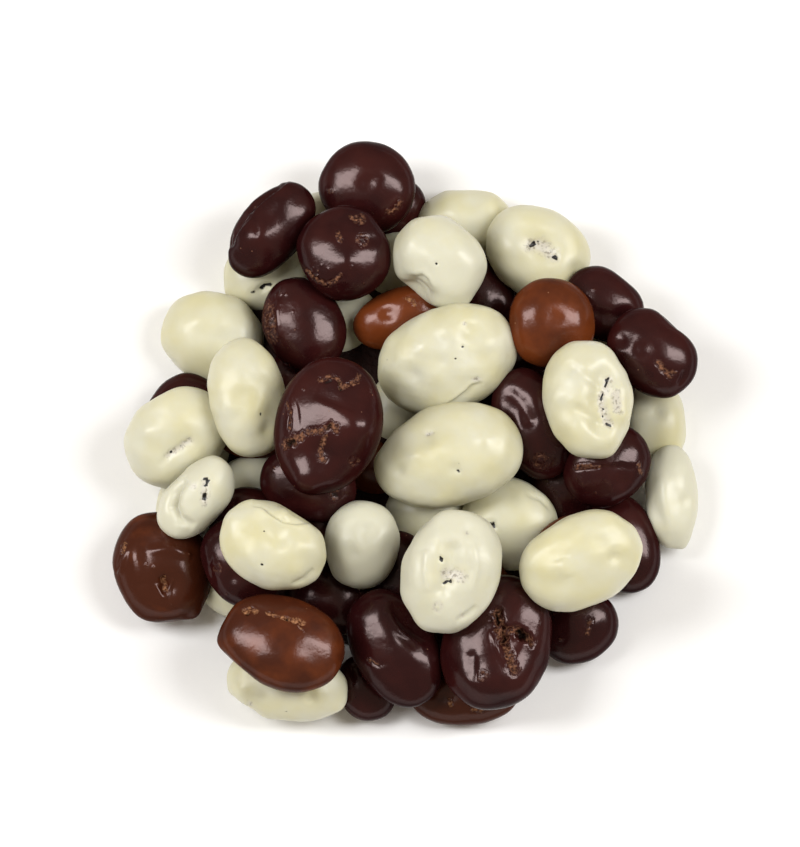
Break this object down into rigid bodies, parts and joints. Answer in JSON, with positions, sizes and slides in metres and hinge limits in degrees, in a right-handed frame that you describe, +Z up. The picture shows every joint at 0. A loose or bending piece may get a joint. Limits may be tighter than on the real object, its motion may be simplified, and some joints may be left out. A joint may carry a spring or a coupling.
{
  "type": "heap of chocolate raisins",
  "caption": "Loose low heap of dark, milk and white chocolate-coated raisins of uneven size, lying on a flat surface with no dish.",
  "frame": {"origin": "middle of the heap's outline on the flat surface it lies on, z = 0 is that surface", "axes": "+Z up; -Y is the side that the picture is taken from, from steeply above; +X is the picture's right"},
  "size_m": [0.0854, 0.0858, 0.0278],
  "materials": {
    "mixed_coating": "mean colour of the dark, milk and white coatings together, satin",
    "dark_chocolate": "polished glaze, glossy",
    "milk_chocolate": "polished glaze, glossy",
    "white_chocolate": "polished glaze, soft satin"
  },
  "bodies": {
    "root": {"heap": "mixed_coating"}
  },
  "joints": []
}
